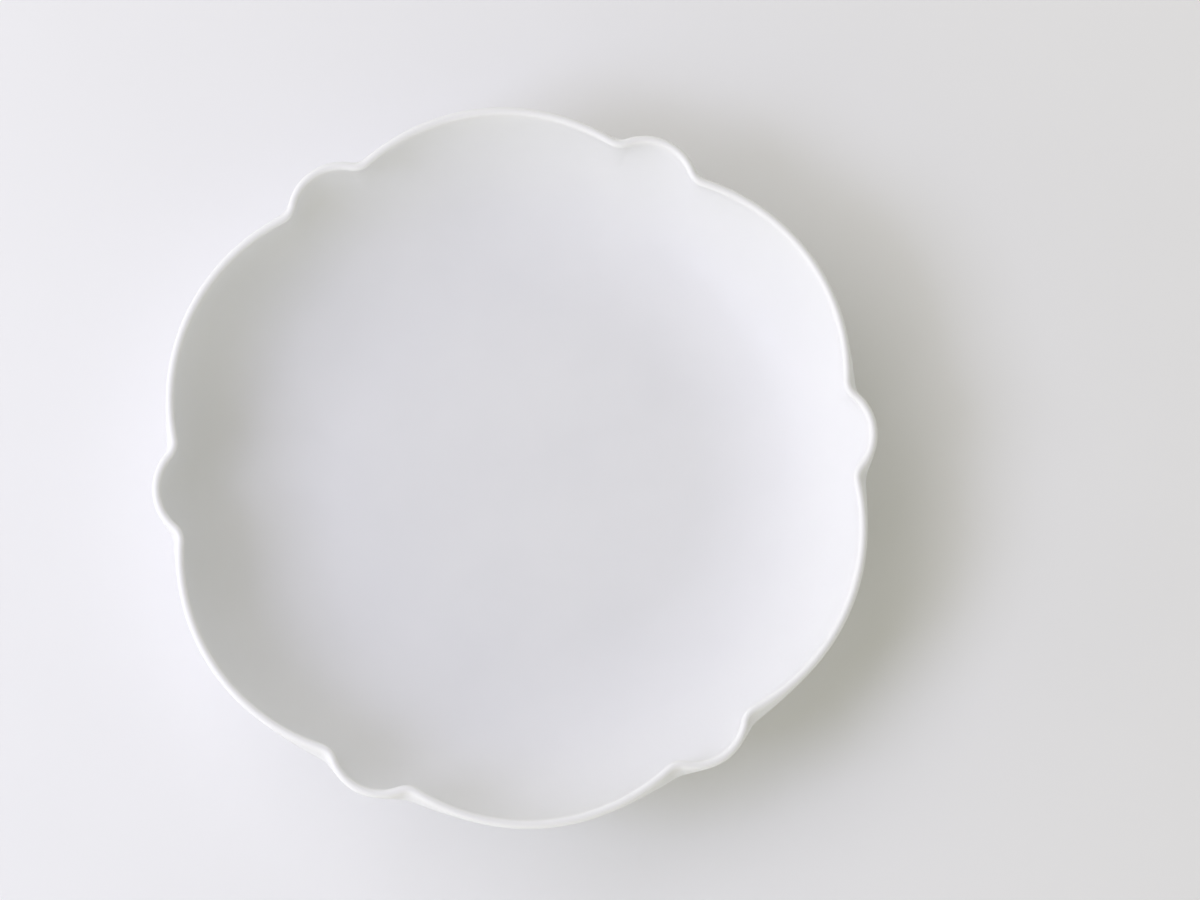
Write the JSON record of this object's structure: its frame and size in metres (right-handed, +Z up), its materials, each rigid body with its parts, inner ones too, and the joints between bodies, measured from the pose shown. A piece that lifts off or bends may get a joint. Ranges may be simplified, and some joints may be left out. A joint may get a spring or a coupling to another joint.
{
  "type": "salad bowl",
  "caption": "Shallow round salad bowl in satin white glazed ceramic, its rim shaped into wide lobes with small lobes between them, standing on a foot ring.",
  "frame": {"origin": "middle of the foot ring's standing face, on the table", "axes": "+Z up through the mouth of the bowl, +X through the middle of a small lobe, +Y through the middle of a large lobe"},
  "size_m": [0.2488, 0.25, 0.05],
  "materials": {
    "glaze": "satin",
    "biscuit": "matte"
  },
  "bodies": {
    "root": {"bowl_body": "biscuit", "foot_ring": "biscuit", "glaze_coat": "glaze", "well_glaze": "glaze"}
  },
  "joints": []
}
